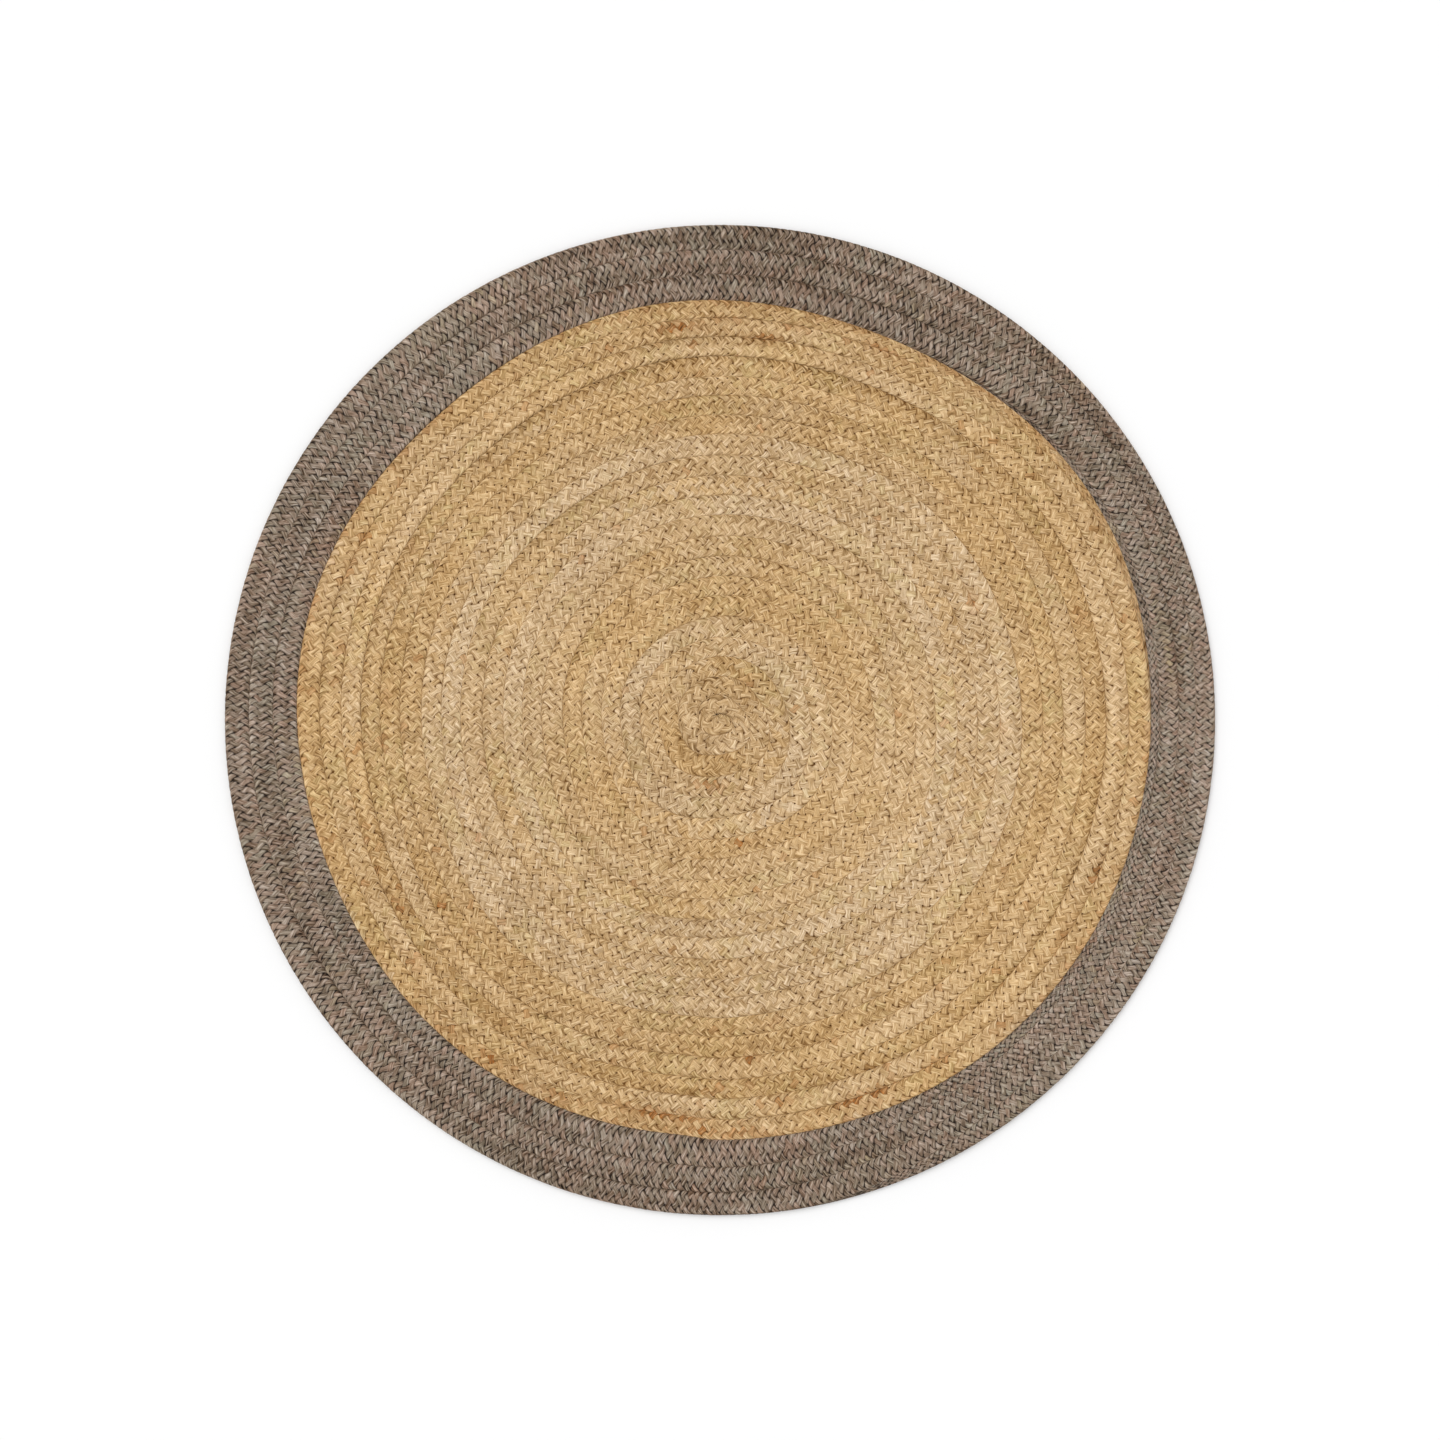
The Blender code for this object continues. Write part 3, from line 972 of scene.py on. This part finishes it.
def plait_run(coil, name, first_row, last_row, sizes):
    """The mesh of one run of plait, closed at both ends."""
    lattice = lattice_points(coil, first_row, last_row, sizes)
    row, column, cell_a, cell_b = lobe_cells(first_row, last_row)
    step = np.arange(FINE_STEPS + 1)
    fine_a = FINE_STEPS * cell_a[:, None, None] + step[None, :, None]
    fine_b = FINE_STEPS * cell_b[:, None, None] + step[None, None, :]
    number = lattice["merged"][point_number(fine_a, fine_b, lattice["start"])]
    grid_a = np.broadcast_to(FINE_PLACES[None, :, None], number.shape)
    grid_b = np.broadcast_to(FINE_PLACES[None, None, :], number.shape)
    # A merged corner takes the map place of the point it was merged into.
    halved = number != point_number(fine_a, fine_b, lattice["start"])
    halved &= np.isin(column, UNDERSIDE_COLUMNS)[:, None, None]
    grid_a = np.where(halved & (step[None, :, None] % 2 == 1), 0.5, grid_a)
    grid_b = np.where(halved & (step[None, None, :] % 2 == 1), 0.5, grid_b)
    centre = lattice["points"][number[:, 2, 2]]
    tints = strand_tints(coil, row, column, centre)
    fibre = fibre_places(coil, row, column, grid_a, grid_b)
    bake = bake_places(row, column, grid_a, grid_b, first_row, last_row)

    def corners(values):
        low, high = slice(0, FINE_STEPS), slice(1, FINE_STEPS + 1)
        v00, v01 = values[:, low, low], values[:, low, high]
        v11, v10 = values[:, high, high], values[:, high, low]
        halves = [np.stack(half, axis=3) for half in ((v00, v01, v11), (v00, v11, v10))]
        return np.stack(halves, axis=3).reshape((-1, 3) + values.shape[3:])

    faces = corners(number)
    keep = (faces != np.roll(faces, 1, axis=1)).all(axis=1)
    faces = faces[keep]
    bake_corners, fibre_corners = corners(bake)[keep], corners(fibre)[keep]
    tint_corners = np.repeat(tints, 2 * FINE_STEPS * FINE_STEPS, axis=0)[keep]
    tint_corners = np.repeat(tint_corners[:, None, :], 3, axis=1)

    points, crease, light = lattice["points"], lattice["crease"], lattice["light"]
    # The lightness also carries the painted light and shade of the turns.
    tint_corners[:, :, 3] += light[faces]
    start_loop = end_loop(number[row == first_row], True)
    finish_loop = end_loop(number[row == last_row - 1], False)
    for end, loop in enumerate((start_loop, finish_loop)):
        more, places = cap(loop, len(points), end)
        points = np.vstack((points, points[loop[0]].mean(axis=0)))
        crease = np.append(crease, CAP_CREASE)
        faces = np.vstack((faces, more))
        bake_corners = np.vstack((bake_corners, places))
        fibre_corners = np.vstack((fibre_corners, places))
        tint_corners = np.vstack((tint_corners, np.full((len(more), 3, 4), CAP_TINT)))

    sharp = crease_edges(number, column)
    sharp = np.vstack((sharp, np.stack(start_loop, axis=1), np.stack(finish_loop, axis=1)))
    used, compact = np.unique(faces, return_inverse=True)
    renumber = np.full(len(points), -1)
    renumber[used] = np.arange(len(used))
    return new_mesh(
        name, points[used], compact.reshape(-1, 3), crease[used],
        bake_corners, fibre_corners, tint_corners, renumber[sharp])


def end_loop(number, at_start):
    """Directed edges round the open end of a run, as their first and second points."""
    if at_start:
        side_b = number[:, :-1, 0], number[:, 1:, 0]
        side_a = number[:, 0, 1:], number[:, 0, :-1]
    else:
        side_b = number[:, 1:, -1], number[:, :-1, -1]
        side_a = number[:, -1, :-1], number[:, -1, 1:]
    first = np.concatenate((side_b[0].ravel(), side_a[0].ravel()))
    second = np.concatenate((side_b[1].ravel(), side_a[1].ravel()))
    keep = first != second
    return first[keep], second[keep]


def crease_edges(number, column):
    """Edges where one strand passes over another or lies beside it."""
    lean = LEAN[column]
    strand_end_a = (lean == RISING) & (LEAN[(column - 1) % COLUMNS] == RISING)
    strand_end_b = (lean == FALLING) & (LEAN[(column + 1) % COLUMNS] == FALLING)
    side_a = number[~strand_end_a][:, 0, :]
    side_b = number[~strand_end_b][:, :, 0]
    return np.vstack([
        np.stack((side[:, :-1].ravel(), side[:, 1:].ravel()), axis=1) for side in (side_a, side_b)])


def new_mesh(name, points, faces, crease, bake_corners, fibre_corners, tints, sharp):
    """A mesh of triangles with its two maps, its yarn colours and its creases."""
    mesh = bpy.data.meshes.new(name)
    mesh.vertices.add(len(points))
    mesh.vertices.foreach_set("co", points.astype(np.float32).ravel())
    mesh.loops.add(faces.size)
    mesh.loops.foreach_set("vertex_index", faces.astype(np.int32).ravel())
    mesh.polygons.add(len(faces))
    mesh.polygons.foreach_set("loop_start", np.arange(0, faces.size, 3, dtype=np.int32))
    mesh.update(calc_edges=True)
    for map_name, places in ((BAKE_MAP, bake_corners), (FIBRE_MAP, fibre_corners)):
        layer = mesh.uv_layers.new(name=map_name)
        layer.uv.foreach_set("vector", places.astype(np.float32).ravel())
    yarn = mesh.attributes.new("yarn", "FLOAT_COLOR", "CORNER")
    yarn.data.foreach_set("color", tints.astype(np.float32).ravel())
    depth = mesh.attributes.new("crease", "FLOAT", "POINT")
    depth.data.foreach_set("value", crease.astype(np.float32))
    edge_points = np.empty(2 * len(mesh.edges), dtype=np.int32)
    mesh.edges.foreach_get("vertices", edge_points)
    edge_points = np.sort(edge_points.reshape(-1, 2), axis=1).astype(np.int64)
    wanted = np.sort(sharp[(sharp >= 0).all(axis=1)], axis=1).astype(np.int64)
    keys = edge_points[:, 0] * len(points) + edge_points[:, 1]
    marked = np.isin(keys, wanted[:, 0] * len(points) + wanted[:, 1])
    mesh.shade_smooth()
    edges = mesh.attributes.new("sharp_edge", "BOOLEAN", "EDGE")
    edges.data.foreach_set("value", marked)
    mesh.uv_layers[BAKE_MAP].active = True
    mesh.uv_layers[BAKE_MAP].active_render = True
    return mesh


def lay_plait(coil, names, node, material, sizes):
    bounds = [round(coil.rows * part / len(names)) for part in range(len(names) + 1)]
    for name, first_row, last_row in zip(names, bounds, bounds[1:]):
        mesh = plait_run(coil, name, first_row, last_row, sizes)
        mesh.materials.append(material)
        run = bpy.data.objects.new(name, mesh)
        bpy.context.scene.collection.objects.link(run)
        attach(run, "root")
        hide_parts(node)
        middle = coil.half_pitch * np.linspace(first_row, last_row, WIDTH_SAMPLES)
        inner, outer = coil.edges(coil.turn_at(middle))


def new_material(name):
    """A material, its nodes and its shader."""
    material = bpy.data.materials.new(name)
    material.use_nodes = True
    tree = material.node_tree
    return material, tree, tree.nodes["Principled BSDF"]


def set_socket(tree, socket, value):
    """Set an input to a number or a colour, or link it to another node's output."""
    if isinstance(value, bpy.types.NodeSocket):
        tree.links.new(value, socket)
    elif socket.type == "RGBA":
        socket.default_value = (*value, 1.0)
    else:
        socket.default_value = value


def add_node(tree, kind, settings=None, **inputs):
    """A node with its settings and its named inputs."""
    made = tree.nodes.new(kind)
    for key, value in (settings or {}).items():
        setattr(made, key, value)
    for key, value in inputs.items():
        set_socket(tree, made.inputs[key], value)
    return made


def calculate(tree, operation, *values, clamp=False):
    """The result of a sum on one to three numbers."""
    made = add_node(tree, "ShaderNodeMath", {"operation": operation, "use_clamp": clamp})
    for socket, value in zip(made.inputs, values):
        set_socket(tree, socket, value)
    return made.outputs[0]


def remap(tree, value, low, high, to_low, to_high):
    """A number brought from one range into another and kept within it."""
    made = add_node(tree, "ShaderNodeMapRange", None, Value=value)
    limits = {"From Min": low, "From Max": high, "To Min": to_low, "To Max": to_high}
    for key, limit in limits.items():
        made.inputs[key].default_value = limit
    return made.outputs[0]


def blend_colours(tree, share, first, second, way="MIX"):
    """One colour mixed into another."""
    made = add_node(tree, "ShaderNodeMix", {"data_type": "RGBA", "blend_type": way})
    for place, value in ((0, share), (6, first), (7, second)):
        set_socket(tree, made.inputs[place], value)
    return made.outputs[2]


def fibre_noise(tree, place, along, across, detail):
    """Noise drawn out along the strand: lengths of one speckle along and across it."""
    stretch = add_node(
        tree, "ShaderNodeMapping", None, Vector=place, Scale=(1.0 / along, 1.0 / across, 1.0))
    noise = add_node(
        tree, "ShaderNodeTexNoise", {"noise_dimensions": "2D"},
        Vector=stretch.outputs[0], Scale=1.0, Detail=detail, Roughness=FIBRE_ROUGHNESS)
    return noise.outputs[0]


def jute_material(name, colours, contrast, depths):
    """Dry jute fibres that follow the strands, with painted shade in the depths between them and
    painted highlights on their crests.

    colours are the body, the three tints, the painted highlight and the painted shade of the gaps."""
    body, tint_one, tint_two, tint_three, painted_highlight, gap = colours
    material, tree, shader = new_material(name)
    yarn = add_node(tree, "ShaderNodeAttribute", {"attribute_name": "yarn"})
    shares = add_node(tree, "ShaderNodeSeparateColor", None, Color=yarn.outputs["Color"])
    crease = add_node(tree, "ShaderNodeAttribute", {"attribute_name": "crease"}).outputs["Fac"]
    place = add_node(tree, "ShaderNodeUVMap", {"uv_map": FIBRE_MAP}).outputs[0]
    spot = add_node(tree, "ShaderNodeTexCoord").outputs["Object"]

    noises = {key: fibre_noise(tree, place, *layer[:3]) for key, layer in FIBRE_LAYERS.items()}
    bundle, yarns = noises["bundle"], noises["yarns"]
    across = add_node(tree, "ShaderNodeSeparateXYZ", None, Vector=place).outputs[1]
    sway = remap(tree, bundle, *YARN_SWAY)
    phase = calculate(tree, "MULTIPLY_ADD", across, math.tau * YARNS_PER_STRAND, sway)
    groove = remap(tree, calculate(tree, "COSINE", phase), -1.0, 1.0, 0.0, 1.0)
    groove = calculate(tree, "POWER", groove, GROOVE_SHARPNESS)
    groove = calculate(tree, "MULTIPLY", groove, remap(tree, yarns, *GROOVE_BREAKS))
    broad = add_node(
        tree, "ShaderNodeTexNoise", None, Vector=spot, Scale=BROAD_SCALE, Detail=BROAD_DETAIL)

    colour = blend_colours(tree, shares.outputs[0], body, tint_one)
    colour = blend_colours(tree, shares.outputs[2], colour, tint_three)
    ragged = remap(tree, bundle, *RAGGED_STAIN)
    stained = calculate(tree, "MULTIPLY", shares.outputs[1], ragged, clamp=True)
    colour = blend_colours(tree, stained, colour, tint_two)
    broad = remap(tree, broad.outputs[0], *BROAD_LIGHT)
    shade = calculate(tree, "ADD", yarn.outputs["Alpha"], broad)
    for key, layer in FIBRE_LAYERS.items():
        swing = layer[3] * contrast
        swung = remap(tree, noises[key], LAYER_FROM, LAYER_TO, -swing, swing)
        shade = calculate(tree, "ADD", shade, swung)
    # Painted shade in the grooves between yarns.
    dark = calculate(tree, "MULTIPLY", groove, GROOVE_DARKNESS * contrast)
    shade = calculate(tree, "SUBTRACT", shade, dark)
    falls = [calculate(tree, "POWER", shade, depth) for depth in depths]
    tone = add_node(
        tree, "ShaderNodeCombineColor", None, Red=falls[0], Green=falls[1], Blue=falls[2])
    colour = blend_colours(tree, 1.0, colour, tone.outputs[0], "MULTIPLY")
    # Painted highlight on the crests where the bundles are bright.
    crest = remap(tree, crease, *CREST_PAINTED_HIGHLIGHT)
    crest = calculate(tree, "MULTIPLY", crest, remap(tree, bundle, *HIGHLIGHTED_BUNDLES))
    colour = blend_colours(tree, crest, colour, painted_highlight)
    # Painted shade in the creases, seams and pits.
    colour = blend_colours(tree, remap(tree, crease, *HOLLOW_PAINTED_SHADE), colour, gap)
    tree.links.new(colour, shader.inputs["Base Color"])

    rough = remap(tree, noises["fine"], *FIBRE_GLOSS)
    tree.links.new(rough, shader.inputs["Roughness"])
    shader.inputs["Specular IOR Level"].default_value = SPECULAR
    shader.inputs["Sheen Weight"].default_value = SHEEN
    shader.inputs["Sheen Roughness"].default_value = SHEEN_ROUGHNESS
    relief = calculate(tree, "MULTIPLY", yarns, BUMP_YARNS)
    relief = calculate(tree, "SUBTRACT", relief, groove)
    bump = add_node(
        tree, "ShaderNodeBump", None, Height=relief, Strength=BUMP_STRENGTH, Distance=BUMP_HEIGHT)
    tree.links.new(bump.outputs[0], shader.inputs["Normal"])
    return material


class RUG_OT_natural_plait(bpy.types.Operator):
    """Coil the natural plait that fills the middle of the rug"""

    bl_idname = "rug.natural_plait"
    bl_label = "Natural plait"

    def execute(self, context):
        sizes, tones = context.scene.rug_sizes, context.scene.rug_colours
        colours = (
            tones.pale, tones.gold, tones.rust, tones.olive, tones.natural_painted_highlight, tones.natural_gap_shade)
        material = jute_material("natural_jute_yarn", colours, NATURAL_CONTRAST, NATURAL_DEPTHS)
        names = [f"natural_plait_{part}" for part in (1, 2, 3, 4)]
        coil = natural_coil(sizes)
        lay_plait(coil, names, "natural_field", material, sizes)
        return {"FINISHED"}


class RUG_OT_grey_plait(bpy.types.Operator):
    """Coil the grey plait that makes the border and the rim"""

    bl_idname = "rug.grey_plait"
    bl_label = "Grey plait"

    def execute(self, context):
        sizes, tones = context.scene.rug_sizes, context.scene.rug_colours
        colours = (
            tones.grey, tones.brown, tones.straw, tones.moss, tones.grey_painted_highlight, tones.grey_gap_shade)
        material = jute_material("grey_jute_yarn", colours, BORDER_CONTRAST, GREY_DEPTHS)
        names = [f"grey_plait_{part}" for part in (1, 2)]
        lay_plait(grey_coil(sizes), names, "grey_border", material, sizes)
        return {"FINISHED"}


class RUG_OT_stage(bpy.types.Operator):
    """Set the pale floor, the soft light and the camera straight above the rug"""

    bl_idname = "rug.stage"
    bl_label = "Stage"

    def execute(self, context):
        bpy.ops.object.select_all(action="DESELECT")
        bpy.ops.mesh.primitive_plane_add(size=FLOOR_WIDTH)
        floor = context.object
        floor.name = floor.data.name = "floor"
        material, tree, shader = new_material("pale_floor")
        spot = add_node(tree, "ShaderNodeTexCoord").outputs["Object"]
        cloudy = add_node(tree, "ShaderNodeTexNoise", None, Vector=spot, Scale=FLOOR_CLOUDS)
        colour = blend_colours(tree, cloudy.outputs[0], FLOOR_DULL, FLOOR_BRIGHT)
        tree.links.new(colour, shader.inputs["Base Color"])
        shader.inputs["Roughness"].default_value = FLOOR_ROUGHNESS
        floor.data.materials.append(material)

        world = bpy.data.worlds.new("studio")
        world.use_nodes = True
        backdrop = world.node_tree.nodes["Background"]
        backdrop.inputs["Color"].default_value = SKY_COLOUR
        backdrop.inputs["Strength"].default_value = SKY_STRENGTH
        context.scene.world = world
        bpy.ops.object.light_add(type="SUN", location=LAMP_PLACE)
        lamp = context.object
        lamp.name = "soft_box"
        lamp.data.angle = LAMP_ANGLE
        lamp.data.energy = LAMP_STRENGTH
        lamp.rotation_euler = (-lamp.location).to_track_quat("-Z", "Y").to_euler()
        context.scene.view_settings.view_transform = "Standard"

        data = bpy.data.cameras.new("above")
        data.lens, data.sensor_width = CAMERA_LENS, CAMERA_SENSOR
        camera = bpy.data.objects.new("above", data)
        context.scene.collection.objects.link(camera)
        distance = PHOTO_WIDTH * CAMERA_LENS / CAMERA_SENSOR
        camera.location = (0.0, 0.0, context.scene.rug_sizes.thickness + distance)
        context.scene.camera = camera
        return {"FINISHED"}


class RUG_PT_sidebar(bpy.types.Panel):
    """The rug's pieces and their sizes and colours"""

    bl_label = "Round braided rug"
    bl_idname = "RUG_PT_sidebar"
    bl_space_type = "VIEW_3D"
    bl_region_type = "UI"
    bl_category = "Rug"

    def draw(self, context):
        layout = self.layout
        for operator in OPERATORS:
            layout.operator(operator.bl_idname)
        for group in (context.scene.rug_sizes, context.scene.rug_colours):
            for key in group.__annotations__:
                layout.prop(group, key)


OPERATORS = (RUG_OT_natural_plait, RUG_OT_grey_plait, RUG_OT_stage)
CLASSES = (RugSizes, RugColours, *OPERATORS, RUG_PT_sidebar)


def register():
    for cls in CLASSES:
        bpy.utils.register_class(cls)
    bpy.types.Scene.rug_sizes = bpy.props.PointerProperty(type=RugSizes)
    bpy.types.Scene.rug_colours = bpy.props.PointerProperty(type=RugColours)


def unregister():
    del bpy.types.Scene.rug_colours
    del bpy.types.Scene.rug_sizes
    for cls in reversed(CLASSES):
        bpy.utils.unregister_class(cls)


def main():
    """Build the rug and its stage."""
    register()
    bpy.ops.rug.natural_plait()
    bpy.ops.rug.grey_plait()
    bpy.ops.rug.stage()


if __name__ == "__main__":
    main()
